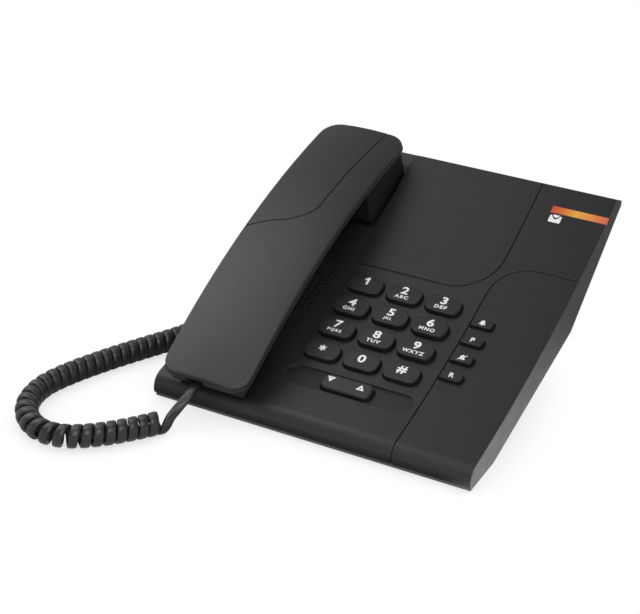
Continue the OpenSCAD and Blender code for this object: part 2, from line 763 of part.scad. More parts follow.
module handset_jack() { color([0.3, 0.3, 0.3]) at_base_socket() small_socket(); }
module handset_socket() { color([0.3, 0.3, 0.3]) at_handset_socket() small_socket(); }
module base_plug() { color([0.15, 0.15, 0.15]) at_base_socket() small_plug(); }
module handset_plug() { color([0.15, 0.15, 0.15]) at_handset_socket() small_plug(); }

module message_lamp_lens() {
    color(lamp) at_top(lens_x, lens_y) {
        block([-lens_w / 2, -lens_l / 2, -lens_t], [lens_w / 2 - 0.1, lens_l / 2, 0]);
        block([-light_w / 2 + 0.2, -light_l / 2 + 0.2, -wall],
            [light_w / 2 - 0.2, light_l / 2 - 0.2, -lens_t + eps]);
    }
}

module lamp_pcb() {
    color(board) at_top(lens_x - 3, lens_y)
        block([-lamp_pcb_w / 2, -lamp_pcb_l / 2, -wall - lamp_gap - lamp_pcb_t],
            [lamp_pcb_w / 2, lamp_pcb_l / 2, -wall - lamp_gap]);
}

module lamp_led() {
    color([0.95, 0.9, 0.8]) for (s = [-1, 1]) at_top(lens_x - 3 + s * 7, lens_y)
        block([-1.7, -1.2, -wall - lamp_gap], [1.7, 1.2, -wall - lamp_gap + 1.4]);
}

// A dialling or function key: cap, lip under the housing and foot on its dome
module key_cap(shape, lip_shape, proud) {
    translate([0, 0, lip_z + eps]) linear_extrude(proud - lip_z - eps) polygon(shape);
    translate([0, 0, lip_z]) linear_extrude(lip_t) polygon(lip_shape);
}

module dial_key(i) {
    lip = 2 * (key_gap + key_lip);
    color([0.16, 0.16, 0.165]) at_keypad() translate(key_at(i))
        key_cap(rr(key_w, key_l, key_r), rr(key_w + lip, key_l + lip, key_r), key_proud);
}

module function_key(i) {
    color([0.16, 0.16, 0.165]) at_keypad() translate(fkey_at(i))
        key_cap(fkey_shape(0), fkey_shape(key_gap + key_lip), fkey_proud);
}

module key_1() { dial_key(0); }
module key_2() { dial_key(1); }
module key_3() { dial_key(2); }
module key_4() { dial_key(3); }
module key_5() { dial_key(4); }
module key_6() { dial_key(5); }
module key_7() { dial_key(6); }
module key_8() { dial_key(7); }
module key_9() { dial_key(8); }
module key_star() { dial_key(9); }
module key_0() { dial_key(10); }
module key_hash() { dial_key(11); }
module key_ringer() { function_key(0); }
module key_pause() { function_key(1); }
module key_mute() { function_key(2); }
module key_flash() { function_key(3); }

module volume_rocker() {
    color([0.16, 0.16, 0.165]) at_keypad() translate([0, -rocker_from_keypad, 0]) {
        translate([0, 0, rocker_low]) linear_extrude(rocker_top + fkey_proud - rocker_low)
            polygon(rr(rocker_w, rocker_l, rocker_r));
        translate([0, 0, rocker_pin_z]) rotate([90, 0, 0])
            cylinder(r = rocker_pin_r, h = 2 * (ear_y + ear_t), center = true, $fn = 48);
    }
}

// Cylinder along X through the handset's arch, at a distance from its middle line
module arch(grow) {
    translate([0, 0, -hs_r]) rotate([0, 90, 0])
        cylinder(r = hs_r + grow, h = far, center = true, $fn = big_fn);
}

module hs_plan(w, l, r) { translate([0, hs_mid, -far / 2]) linear_extrude(far) polygon(rr(w, l, r)); }

// Lengths by which the slope of a broken edge is carried out past the edge and in over the crown
edge_out = 2;
edge_in = 5;
function edge_r(inset) = max(0.4, back_edge - inset);

// Cross-section of the back cover at its distance from the arch's axis
module back_section(inset) {
    r = edge_r(inset);
    half = hs_w / 2 - inset;
    flat = half - r;
    side = back_h - inset - crown_r + sqrt(crown_r * crown_r - flat * flat) - r;
    wide = half + edge_out;
    intersection() {
        translate([hs_r, 0]) polygon([[-inset / 2, -wide], [side - edge_out, -wide],
            [side + edge_in, edge_in - half], [side + edge_in, half - edge_in],
            [side - edge_out, wide], [-inset / 2, wide]]);
        translate([hs_r + back_h - inset - crown_r, 0]) circle(crown_r, $fn = 360);
    }
}

module back_sweep(inset) {
    span = 2 * asin(ear_end / hs_r) + 2;
    translate([0, 0, -hs_r]) rotate([0, -90, 0]) rotate([0, 0, -span / 2])
        rotate_extrude(angle = span, $fn = big_fn) back_section(inset);
}

// Side outline of the back cover with the broken edges of its ends
module back_side_outline(inset) {
    r = edge_r(inset);
    a = hs_mid - hs_len / 2 + inset;
    b = ear_end - inset;
    out_r = hs_r + back_h - inset;
    a_h = sqrt(out_r * out_r - (a + r) * (a + r)) - r;
    b_h = sqrt(out_r * out_r - (b - r) * (b - r)) - r;
    translate([0, -hs_r]) polygon([[a - edge_out, hs_r / 2], [b + edge_out, hs_r / 2],
        [b + edge_out, b_h - edge_out], [b - edge_in, b_h + edge_in], [b - edge_in, 2 * hs_r],
        [a + edge_in, 2 * hs_r], [a + edge_in, a_h + edge_in], [a - edge_out, a_h - edge_out]]);
}

module back_form(inset) {
    intersection() {
        back_sweep(inset);
        hs_plan(hs_w - 2 * inset, hs_len - 2 * inset, hs_corner - inset);
        along_x(far) back_side_outline(inset);
    }
}

module handset_back_cover() {
    color(soft_black) at_handset() difference() {
        union() {
            difference() {
                back_form(0);
                back_form(hs_wall);
            }
            intersection() {
                for (s = screw_hs_s) translate([0, s, -hs_r]) cylinder(r = boss_r, h = hs_r + 20, $fn = 48);
                arch(back_h - hs_wall / 2 - 0.5);
                difference() { hs_plan(hs_w, hs_len, hs_corner); arch(-2); }
            }
        }
        for (s = screw_hs_s) translate([0, s, -grip_depth])
            cylinder(r = pilot_r + screw_play / 2, h = grip_depth + 3.2, $fn = 32);
        plug_notch();
    }
}

// Side outline of the ear cup, rounded at its front and chamfered under its end
module ear_cup(inset) {
    r = ear_round - inset;
    low = inset - ear_depth;
    front = ear_s0 + inset;
    cup_end = ear_end - front_inset;
    cut = ear_chamfer + inset * (sqrt(2) - 1);
    along_x(far) {
        translate([front + r, low + r]) circle(r, $fn = 64);
        polygon([[front, low + r], [front + r, low + r], [front + r, low], [cup_end - cut, low],
            [cup_end, low + cut], [cup_end, far / 2], [front, far / 2]]);
    }
}

// Cross-section of the grip and the mouth cup, drawn in towards the bottom
low_slant = sqrt(1 + low_taper * low_taper);
module low_section(inset) {
    half = front_w / 2 - inset * low_slant;
    low = mouth_depth - inset;
    top_half = half + low_taper * back_h;
    low_half = half - low_taper * low;
    polygon([[hs_r + back_h, -top_half], [hs_r + back_h, top_half],
        [hs_r - low, low_half], [hs_r - low, -low_half]]);
}

module low_sweep(inset) {
    span = 2 * asin(hs_len / 2 / hs_r) + 6;
    translate([0, 0, -hs_r]) rotate([0, -90, 0]) rotate([0, 0, -span / 2])
        rotate_extrude(angle = span, $fn = big_fn) low_section(inset);
}

// Everything behind the mouth cup's sloping end
module mouth_end(inset) {
    tip = hs_mid - front_len / 2 + inset * low_slant;
    tip_h = tip * tip / (-2 * hs_r);
    reach = mouth_depth * 2;
    along_x(far) polygon([[tip - low_taper * reach, tip_h + reach], [tip + low_taper * reach, tip_h - reach],
        [far, tip_h - reach], [far, tip_h + reach]]);
}

// Outer or inner form of the front cover; open raises its top
module front_form(inset, open) {
    intersection() {
        at_handset() hs_plan(front_w - 2 * inset, front_len - 2 * inset, hs_corner - front_inset - inset);
        at_handset() arch(open - seam);
        union() {
            at_handset() ear_cup(inset);
            intersection() {
                at_handset() mouth_end(inset);
                at_handset() difference() {
                    low_sweep(inset);
                    intersection() {
                        arch(inset - grip_depth);
                        block([-far / 2, mouth_s1 - inset, -far / 2], [far / 2, far / 2, far / 2]);
                    }
                }
                along_x(2 * far) top_circle(-rest_gap - inset);
            }
        }
    }
}

mouth_hole_s = mouth_s1 - mouth_hole_in;
module handset_front_cover() {
    color(black) difference() {
        union() {
            difference() { front_form(0, 0); front_form(hs_wall, 2); }
            at_handset() intersection() {
                for (s = screw_hs_s) translate([0, s, -grip_depth - 2])
                    cylinder(r = boss_r, h = 2 * grip_depth, $fn = 48);
                difference() { arch(-hs_wall - seam); arch(hs_wall / 2 - grip_depth); }
            }
        }
        at_handset() for (s = screw_hs_s) translate([0, s, -grip_depth - 10]) {
            cylinder(r = pilot_r + 0.3, h = 3 * grip_depth, $fn = 32);
            cylinder(r = 2.7, h = 10 + screw_hs_sink(s), $fn = 48);
        }
        at_handset() for (a = [0 : 60 : 359])
            translate([0, ear_mid, -ear_depth]) rotate([0, 0, a]) translate([6, 0, -1])
            cylinder(d = 2, h = hs_wall + 2, $fn = 24);
        at_handset() for (x = [-3, 0, 3]) translate([x, mouth_hole_s, -far / 2])
            cylinder(d = 1.6, h = far / 2, $fn = 24);
        at_handset() plug_notch();
        room = [socket_room, socket_room, socket_room];
        at_handset_socket() block(-socket_half - room, socket_end + socket_half + room);
    }
}

ear_mid = ear_s0 + ear_len / 2;
function screw_hs_sink(s) = 3 - s * s / (2 * hs_r);

module handset_screws() {
    color(steel) at_handset() for (s = screw_hs_s) translate([0, s, -grip_depth + screw_hs_sink(s)])
        screw(pilot_r, 2.4, 1.4, grip_depth - screw_hs_sink(s) + 2);
}

module earpiece_receiver() {
    color([0.3, 0.3, 0.32]) at_handset() translate([0, ear_mid, hs_wall - ear_depth]) rotate_extrude($fn = 64)
        polygon([[0, 0.6], [receiver_d / 2 - 2, 0.6], [receiver_d / 2 - 2, 0], [receiver_d / 2, 0],
            [receiver_d / 2, receiver_edge], [receiver_d * 0.34, receiver_h], [0, receiver_h]]);
}

module microphone_capsule() {
    color([0.6, 0.6, 0.62]) at_top(hs_x, mic_y) translate([0, 0, hs_wall + rest_gap + 0.1])
        cylinder(d = mic_d, h = mic_h, $fn = 48);
}
mic_y = hs_y + mouth_hole_s * cos(hs_tilt) + 19 * sin(hs_tilt);

module handset_weight() {
    color(steel) at_handset()
        block([-weight_w / 2, weight_s[0], hs_wall - grip_depth], [weight_w / 2, weight_s[1], -weight_drop]);
}

// Curly cord: Catmull-Rom curves through the route's points
function cr(p, i, t) = let (n = len(p) - 1,
    a = p[max(i - 1, 0)], b = p[i], c = p[min(i + 1, n)], d = p[min(i + 2, n)])
    0.5 * (2 * b + (c - a) * t + (2 * a - 5 * b + 4 * c - d) * t * t + (3 * b - a - 3 * c + d) * t * t * t);
function curve(p, n) = [for (i = [0 : len(p) - 2]) for (k = [0 : n - 1]) cr(p, i, k / n), p[len(p) - 1]];
function unit(v) = v / norm(v);
function turn(a, b) = let (c = a[0] * b[1] - a[1] * b[0]) asin(max(-1, min(1, c)));

module handset_cord() {
    out = hs_plug_end();
    base_end = [x_left + wall - plug_out, jack_y, jack_z];
    move_a = [out[0], out[1]] - drawn_out;
    move_b = [base_end[0], base_end[1]] - drawn_in;
    spans = len(curl_route) - 1;
    mid = curve([for (i = [0 : spans])
        curl_route[i] + move_a * (1 - i / spans) + move_b * i / spans], 10);
    n = len(mid);
    step = [for (i = [0 : n - 2]) norm(mid[i + 1] - mid[i])];
    head = [for (i = [0 : n - 1]) unit(mid[min(i + 1, n - 1)] - mid[max(i - 1, 0)])];
    bend = [for (i = [0 : n - 2]) abs(turn(head[i], head[i + 1])) * PI / 180 / step[i]];
    pitch = [for (k = bend) curl_pitch / (1 - min(0.4, k * (curl_r + cord_d / 2)))];
    turns = [for (i = 0, s = 0; i < n; s = s + (i < n - 1 ? step[i] / pitch[i] : 0), i = i + 1) s];
    places = [for (i = [0 : n - 1]) [turns[i], i]];
    count = floor(turns[n - 1] * curl_rings);
    curls = [for (k = [0 : count])
        let (f = lookup(k / curl_rings, places), i = min(floor(f), n - 2), t = f - i,
            c = mid[i] * (1 - t) + mid[i + 1] * t, h = unit(head[i] * (1 - t) + head[i + 1] * t),
            a = -360 * k / curl_rings)
        [c[0] - h[1] * curl_r * cos(a), c[1] + h[0] * curl_r * cos(a), curl_z + curl_r * sin(a)]];
    dir = [0, -cos(hs_tilt), -sin(hs_tilt)];
    tail_a = curve(concat([out + dir * cord_d], [for (p = tail_front) p + [move_a[0], move_a[1], 0]]), 5);
    tail_b = curve(concat([for (p = tail_side) p + [move_b[0], move_b[1], 0]],
        [base_end - [cord_d, 0, 0]]), 4);
    path = concat([out], tail_a, curls, tail_b, [base_end]);
    apart = [for (i = [0 : len(path) - 1]) for (j = [i + 5 : len(path) - 1]) norm(path[i] - path[j])];
    echo(cord_self_gap = min(apart) - cord_d, curls = count / curl_rings);
    echo(cord_length = len_of(path), lowest = min([for (p = path) p[2]]) - cord_d / 2);
    color(black) tube(path, cord_d / 2, cord_sides);
}
function hs_plug_end() = let (p = [0, socket_s - plug_out, socket_h])
    [hs_x + socket_x, hs_y + p[1] * cos(hs_tilt) - p[2] * sin(hs_tilt),
    hs_z + p[1] * sin(hs_tilt) + p[2] * cos(hs_tilt)];
function len_of(p) = sum([for (i = [0 : len(p) - 2]) norm(p[i + 1] - p[i])]);
function sum(v) = v * [for (i = v) 1];

// Closed tube of triangles along a path, its rings turned as little as possible
module tube(path, r, sides) {
    n = len(path);
    along = [for (i = [0 : n - 1]) unit(i == 0 ? path[1] - path[0] : i == n - 1 ? path[i] - path[i - 1]
        : unit(path[i + 1] - path[i]) + unit(path[i] - path[i - 1]))];
    first = unit(cross(along[0], [0, 0.3, 1]));
    side = [for (i = 0, u = first; i < n; i = i + 1,
        u = i < n ? unit(u - along[i] * (u * along[i])) : u) u];
    points = [for (i = [0 : n - 1]) for (k = [0 : sides - 1])
        path[i] + r * (cos(360 * k / sides) * side[i] + sin(360 * k / sides) * cross(along[i], side[i]))];
    walls = [for (i = [0 : n - 2]) for (k = [0 : sides - 1])
        let (a = i * sides + k, b = i * sides + (k + 1) % sides)
        each [[a, a + sides, b], [b, a + sides, b + sides]]];
    end = (n - 1) * sides;
    caps = [for (k = [1 : sides - 2]) each [[0, k, k + 1], [end, end + k + 1, end + k]]];
    polyhedron(points, concat(walls, caps));
}

base_top_housing();
base_bottom_cover();
rubber_feet();
housing_screws();
main_pcb();
pcb_screws();
keypad_membrane();
ringer_speaker();
hook_plunger();
hook_switch();
hook_spring();
line_jack();
handset_jack();
message_lamp_lens();
lamp_led();
lamp_pcb();
key_1();
key_2();
key_3();
key_4();
key_5();
key_6();
key_7();
key_8();
key_9();
key_star();
key_0();
key_hash();
key_ringer();
key_pause();
key_mute();
key_flash();
volume_rocker();
handset_back_cover();
handset_front_cover();
earpiece_receiver();
microphone_capsule();
handset_weight();
handset_socket();
handset_screws();
handset_plug();
base_plug();
handset_cord();
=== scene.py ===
import math

import bmesh
import bpy
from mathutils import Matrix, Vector


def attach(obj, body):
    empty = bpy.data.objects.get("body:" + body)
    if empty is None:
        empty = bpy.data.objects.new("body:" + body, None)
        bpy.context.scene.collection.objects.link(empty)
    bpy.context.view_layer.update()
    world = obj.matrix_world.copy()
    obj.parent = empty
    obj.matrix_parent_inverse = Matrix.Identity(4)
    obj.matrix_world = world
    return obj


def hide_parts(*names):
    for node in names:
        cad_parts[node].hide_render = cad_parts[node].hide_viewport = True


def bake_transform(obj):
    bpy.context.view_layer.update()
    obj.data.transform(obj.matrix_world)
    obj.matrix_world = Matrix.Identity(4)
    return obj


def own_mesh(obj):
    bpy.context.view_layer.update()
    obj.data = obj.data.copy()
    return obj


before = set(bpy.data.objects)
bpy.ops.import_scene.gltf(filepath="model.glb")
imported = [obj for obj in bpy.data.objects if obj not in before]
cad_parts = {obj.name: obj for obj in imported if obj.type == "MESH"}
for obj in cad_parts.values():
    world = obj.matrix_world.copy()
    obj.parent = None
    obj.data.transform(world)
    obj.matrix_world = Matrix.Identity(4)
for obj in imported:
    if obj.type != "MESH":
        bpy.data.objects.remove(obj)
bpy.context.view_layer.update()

scene = bpy.context.scene
scene.view_settings.view_transform = "Standard"
MM = 0.001

# Sizes of the telephone in millimetres, as in the part's source
ARC_Y, ARC_Z, ARC_R = -211.5516, 620.6089, 620.0
KEY_X, KEY_Y = 8, -22.85
TAU = math.asin((KEY_Y - ARC_Y) / ARC_R)
TILT = math.radians(20)
HS_X, HS_Y, HS_RISE = -57.8, -6.95, 26.5


def arc_z(y):
    return ARC_Z - math.sqrt(ARC_R ** 2 - (y - ARC_Y) ** 2)


KEY_Z = arc_z(KEY_Y)
HS_Z = arc_z(HS_Y) + HS_RISE


# Places in metres from millimetres on the keypad's plane, along the handset and on the curved top
def on_keys(x, v, h):
    return Vector((KEY_X + x, KEY_Y + v * math.cos(TAU) - h * math.sin(TAU),
                   KEY_Z + v * math.sin(TAU) + h * math.cos(TAU))) * MM


def on_handset(x, s, h):
    return Vector((HS_X + x, HS_Y + s * math.cos(TILT) - h * math.sin(TILT),
                   HS_Z + s * math.sin(TILT) + h * math.cos(TILT))) * MM


def on_top(x, y, h):
    a = math.asin((y - ARC_Y) / ARC_R)
    return Vector((x, y - h * math.sin(a), arc_z(y) + h * math.cos(a))) * MM


# Camera
CAM_AT = (0.35844, -0.73091, 0.49302)
CAM_AZIMUTH, CAM_ELEVATION = 28.753, 29.495
cam = bpy.data.objects.new("camera", bpy.data.cameras.new("camera"))
scene.collection.objects.link(cam)
cam.data.sensor_width = 36
cam.data.lens = 97.97
cam.data.clip_start = 0.01
cam.location = CAM_AT
cam.rotation_euler = (math.radians(90 - CAM_ELEVATION), 0, math.radians(CAM_AZIMUTH))
scene.camera = cam


# Mesh helpers
def smooth(mesh, angle):
    mesh.polygons.foreach_set("use_smooth", [True] * len(mesh.polygons))
    mesh.set_sharp_from_angle(angle=math.radians(angle))


def add(name, bm, angle=35.0):
    bmesh.ops.remove_doubles(bm, verts=bm.verts, dist=1e-7)
    bmesh.ops.recalc_face_normals(bm, faces=bm.faces)
    mesh = bpy.data.meshes.new(name)
    bm.to_mesh(mesh)
    bm.free()
    smooth(mesh, angle)
    obj = bpy.data.objects.new(name, mesh)
    scene.collection.objects.link(obj)
    return obj


def loft(bm, rings, caps=True):
    rows = [[bm.verts.new(p) for p in ring] for ring in rings]
    n = len(rows[0])
    for a, b in zip(rows, rows[1:]):
        for i in range(n):
            j = (i + 1) % n
            bm.faces.new((a[i], a[j], b[j], b[i]))
    if caps:
        bm.faces.new(list(reversed(rows[0])))
        bm.faces.new(rows[-1])


def cut(obj, bm):
    tool = add("tool", bm)
    mod = obj.modifiers.new("cut", "BOOLEAN")
    mod.operation = "DIFFERENCE"
    mod.solver = "EXACT"
    mod.object = tool
    mesh = bpy.data.meshes.new_from_object(obj.evaluated_get(bpy.context.evaluated_depsgraph_get()))
    old = obj.data
    obj.modifiers.clear()
    obj.data = mesh
    bpy.data.meshes.remove(old)
    bpy.data.objects.remove(tool)
    smooth(mesh, 30)


def circle(n):
    return [(math.cos(2 * math.pi * k / n), math.sin(2 * math.pi * k / n)) for k in range(n)]


def rounded(w, l, radii, steps=10):
    pts = []
    for i in range(4):
        r = radii[i]
        cx = r - w / 2 if i in (0, 3) else w / 2 - r
        cy = r - l / 2 if i < 2 else l / 2 - r
        for k in range(steps + 1):
            a = math.radians(180 + 90 * i + 90 * k / steps)
            pts.append((cx + r * math.cos(a), cy + r * math.sin(a)))
    return pts


def curve(pts, n):
    out = []
    last = len(pts) - 1
    for i in range(last):
        a, b = pts[max(i - 1, 0)], pts[i]
        c, d = pts[i + 1], pts[min(i + 2, last)]
        for k in range(n):
            t = k / n
            out.append(0.5 * (2 * b + (c - a) * t + (2 * a - 5 * b + 4 * c - d) * t ** 2
                              + (3 * b - a - 3 * c + d) * t ** 3))
    out.append(pts[-1])
    return out


def heading(line, i):
    return (line[min(i + 1, len(line) - 1)] - line[max(i - 1, 0)]).normalized()


def dress(obj, mat, body, node=None):
    obj.data.materials.clear()
    obj.data.materials.append(mat)
    if node:
        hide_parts(node)
    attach(obj, body)


# Curly cord: a flat cord wound into curls, with a tail at each end
CURL_R, CURL_OUT, CURL_PITCH, CURL_Z, CURL_SQUEEZE = 4.9, 6.2, 5.3, 6.3, 0.4
RINGS, FIRST_RING = 24, 4
HALF_WIDE, HALF_THICK, CORD_SIDES, SQUARENESS = 2.55, 1.3, 14, 0.66
ROUTE = [(-69, -121), (-80, -135), (-92, -147), (-105, -155), (-119, -156), (-132, -149), (-140, -137),
         (-142, -121), (-137, -103), (-128, -83), (-119, -66), (-110, -50), (-105, -40)]
TAIL_FRONT = [(-62, -105, 16), (-63.5, -112, 12.5), (-65, -118, 9), (-65.9, -122, 4.6)]
TAIL_SIDE = [(-103, -35, 9), (-101, -26, 13), (-100.5, -18, 19), (-99.4, -13, 22.8), (-97, -10.4, 24.4)]
TAIL_STEPS = 6
CORD_OUT, OUT_REACH = Vector((-62, -93.8, 19.4)), 3
CORD_IN, IN_REACH = Vector((-91.1, -8.55, 24.6)), Vector((4, 0, 0))
# The route is drawn for plugs that stand this much further forward
BACK = Vector((0, 1.4, 0))


def cord_line():
    mid = curve([Vector(p) + BACK.xy for p in ROUTE], 10)
    n = len(mid)
    head = [heading(mid, i) for i in range(n)]
    turns = [0.0]
    for i in range(n - 1):
        step = (mid[i + 1] - mid[i]).length
        cross = head[i].x * head[i + 1].y - head[i].y * head[i + 1].x
        bend = abs(math.asin(max(-1, min(1, cross)))) / step
        turns.append(turns[-1] + step * (1 - min(CURL_SQUEEZE, bend * CURL_OUT)) / CURL_PITCH)
    pts, nor = [], []
    i = 0
    # The curls end on a whole eighth of a turn
    for k in range(FIRST_RING, int(turns[-1] * 8) * RINGS // 8 + 1):
        f = k / RINGS
        while i < n - 2 and turns[i + 1] < f:
            i += 1
        t = (f - turns[i]) / (turns[i + 1] - turns[i])
        c = mid[i].lerp(mid[i + 1], t)
        h = head[i].lerp(head[i + 1], t).normalized()
        a = -2 * math.pi * k / RINGS
        out = Vector((-h.y * math.cos(a), h.x * math.cos(a), math.sin(a)))
        pts.append(Vector((c.x, c.y, CURL_Z)) + out * CURL_R)
        nor.append(out)
    away = Vector((0, -math.cos(TILT), -math.sin(TILT)))
    up = Vector((0, -math.sin(TILT), math.cos(TILT)))
    flat = Vector((0, 0, 1))
    front = [Vector(p) + BACK for p in TAIL_FRONT]
    side = [Vector(p) + BACK for p in TAIL_SIDE]
    first = curve([CORD_OUT + away * OUT_REACH] + front + [pts[0], pts[3]], TAIL_STEPS)
    first = first[:(len(front) + 1) * TAIL_STEPS]
    last = curve([pts[-4], pts[-1]] + side + [CORD_IN - IN_REACH], TAIL_STEPS)[TAIL_STEPS + 1:]
    twist = len(front) * TAIL_STEPS
    head_n = [up.slerp(nor[0], min(1, max(0, (j - TAIL_STEPS) / twist))) for j in range(len(first))]
    tail_n = [nor[-1].slerp(flat, min(1, (j + 1) / (len(last) - 3))) for j in range(len(last))]
    return [CORD_OUT] + first + pts + last + [CORD_IN], [up] + head_n + nor + tail_n + [flat]


def cord_mesh():
    line, normals = cord_line()
    rings = []
    for i, p in enumerate(line):
        t = heading(line, i)
        n = (normals[i] - t * normals[i].dot(t)).normalized()
        b = t.cross(n)
        ring = []
        for c, s in circle(CORD_SIDES):
            u = math.copysign(abs(c) ** SQUARENESS, c) * HALF_WIDE
            w = math.copysign(abs(s) ** SQUARENESS, s) * HALF_THICK
            ring.append((p + b * u + n * w) * MM)
        rings.append(ring)
    bm = bmesh.new()
    loft(bm, rings)
    length = sum((q - p).length for p, q in zip(line, line[1:])) * MM
    return add("cord_curly", bm, 60), [p * MM for p in line], length


cord, cord_path, cord_length = cord_mesh()
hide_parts("handset_cord")
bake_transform(cord)


# Node helpers
def material(name):
    mat = bpy.data.materials.new(name)
    mat.use_nodes = True
    nt = mat.node_tree
    return mat, nt, nt.nodes["Principled BSDF"]


def ramp(nt, value, stops):
    node = nt.nodes.new("ShaderNodeValToRGB")
    els = node.color_ramp.elements
    while len(els) < len(stops):
        els.new(0.5)
    for el, (pos, col) in zip(els, stops):
        el.position = pos
        el.color = (*col, 1)
    nt.links.new(value, node.inputs["Fac"])
    return node.outputs["Color"]


def noise(nt, coord, scale, detail=2.0):
    node = nt.nodes.new("ShaderNodeTexNoise")
    node.inputs["Scale"].default_value = scale
    node.inputs["Detail"].default_value = detail
    nt.links.new(coord, node.inputs["Vector"])
    return node.outputs["Fac"]


def remap(nt, value, source, target=(0.0, 1.0)):
    node = nt.nodes.new("ShaderNodeMapRange")
    nt.links.new(value, node.inputs["Value"])
    for label, end in zip(("From Min", "From Max", "To Min", "To Max"), (*source, *target)):
        if isinstance(end, bpy.types.NodeSocket):
            nt.links.new(end, node.inputs[label])
        else:
            node.inputs[label].default_value = end
    return node.outputs["Result"]


def axes(nt, vector):
    node = nt.nodes.new("ShaderNodeSeparateXYZ")
    nt.links.new(vector, node.inputs["Vector"])
    return node.outputs


def maths(nt, operation, *values):
    node = nt.nodes.new("ShaderNodeMath")
    node.operation = operation
    for value, socket in zip(values, node.inputs):
        nt.links.new(value, socket)
    return node.outputs["Value"]


def relief(nt, height, strength, distance):
    node = nt.nodes.new("ShaderNodeBump")
    node.inputs["Strength"].default_value = strength
    node.inputs["Distance"].default_value = distance
    nt.links.new(height, node.inputs["Height"])
    return node


def mix_colour(nt, factor, a, b):
    node = nt.nodes.new("ShaderNodeMix")
    node.data_type = "RGBA"
    nt.links.new(factor, node.inputs["Factor"])
    nt.links.new(a, node.inputs["A"])
    node.inputs["B"].default_value = (*b, 1)
    return node.outputs["Result"]


def mix_surface(nt, output, factor, a, b):
    node = nt.nodes.new("ShaderNodeMixShader")
    nt.links.new(factor, node.inputs["Fac"])
    nt.links.new(a, node.inputs[1])
    nt.links.new(b, node.inputs[2])
    nt.links.new(node.outputs["Shader"], nt.nodes.new(output).inputs["Surface"])


def shade(col, k):
    return tuple(min(1, c * k) for c in col)


# Materials: moulded plastic with grain, uneven gloss, rounded edges and a painted highlight along the edges
NOISE_ENDS = (0.3, 0.7)
GRAIN_DEPTH = 0.0002
EDGE_HIGHLIGHT = (0.995, 0.86)


def plastic(name, col, rough=(0.44, 0.52), spread=0.05, grain=2200, bump=0.08, soft=0.0006, edge=1.5,
            metal=0.0, broad=45, spec=0.5):
    mat, nt, bsdf = material(name)
    link = nt.links.new
    coord = nt.nodes.new("ShaderNodeTexCoord").outputs["Object"]
    tones = (shade(col, 1 - spread), shade(col, 1 + spread))
    colour = ramp(nt, noise(nt, coord, broad, 4), list(zip(NOISE_ENDS, tones)))
    link(remap(nt, noise(nt, coord, broad * 3, 3), NOISE_ENDS, rough), bsdf.inputs["Roughness"])
    round_edge = nt.nodes.new("ShaderNodeBevel")
    round_edge.samples = 6
    round_edge.inputs["Radius"].default_value = soft
    normal = round_edge.outputs["Normal"]
    grained = relief(nt, noise(nt, coord, grain), bump, GRAIN_DEPTH)
    link(normal, grained.inputs["Normal"])
    link(grained.outputs["Normal"], bsdf.inputs["Normal"])
    bsdf.inputs["Metallic"].default_value = metal
    bsdf.inputs["Specular IOR Level"].default_value = spec
    # Rounded edges are painted lighter by the factor edge: a painted highlight
    if edge > 1:
        dot = nt.nodes.new("ShaderNodeVectorMath")
        dot.operation = "DOT_PRODUCT"
        link(nt.nodes.new("ShaderNodeNewGeometry").outputs["Normal"], dot.inputs[0])
        link(normal, dot.inputs[1])
        colour = mix_colour(nt, remap(nt, dot.outputs["Value"], EDGE_HIGHLIGHT), colour, shade(col, edge))
    link(colour, bsdf.inputs["Base Color"])
    return mat


HOUSING_LOOK = dict(col=(0.014, 0.014, 0.0145), rough=(0.4, 0.46), edge=1.8)
HOUSING = plastic("housing", **HOUSING_LOOK)
HANDSET = plastic("handset", (0.016, 0.016, 0.0165), rough=(0.45, 0.49), soft=0.0003, edge=1.6, spec=0.58)
KEYS = plastic("keys", (0.012, 0.012, 0.0125), rough=(0.42, 0.48), grain=3000, bump=0.05, soft=0.0003,
               edge=1.2)
RUBBER = plastic("rubber", (0.016, 0.016, 0.016), rough=(0.75, 0.9), grain=1500, bump=0.3, edge=1.8)
SILICONE = plastic("silicone", (0.5, 0.51, 0.53), rough=(0.55, 0.7), grain=1800, bump=0.1, edge=1)
STEEL = plastic("steel", (0.55, 0.55, 0.57), rough=(0.2, 0.38), spread=0.1, grain=4000, bump=0.1, soft=0.0002,
                edge=1.3, metal=1.0, broad=300)
BOARD = plastic("board", (0.03, 0.16, 0.07), rough=(0.3, 0.42), spread=0.2, grain=900, bump=0.1, edge=1.8)
INNER = plastic("inner_plastic", (0.05, 0.05, 0.054), rough=(0.4, 0.5), edge=1.6)
PALE = plastic("pale_plastic", (0.68, 0.68, 0.63), rough=(0.35, 0.5), edge=1)
CAPSULE = plastic("capsule", (0.7, 0.7, 0.72), rough=(0.25, 0.4), spread=0.06, metal=1.0, broad=400, edge=1)
CORD = plastic("cord", (0.016, 0.016, 0.0165), rough=(0.3, 0.42), grain=1200, soft=0.0003, edge=1.3, spec=0.6)
PRINT = plastic("print", (0.92, 0.92, 0.92), rough=(0.5, 0.62), spread=0.03, grain=3000, bump=0.05, edge=1)
GOLD = plastic("contact", (0.83, 0.6, 0.22), rough=(0.18, 0.3), spread=0.06, metal=1.0, soft=0.0001, edge=1)

# Lamp lens: red to yellow to red along its length, in metres
LENS_ENDS = (0.059, 0.091)
LENS_TONES = [(0.0, (0.40, 0.05, 0.03)), (0.2, (0.44, 0.115, 0.025)), (0.45, (0.53, 0.275, 0.045)),
              (0.75, (0.53, 0.17, 0.05)), (1.0, (0.42, 0.10, 0.06))]


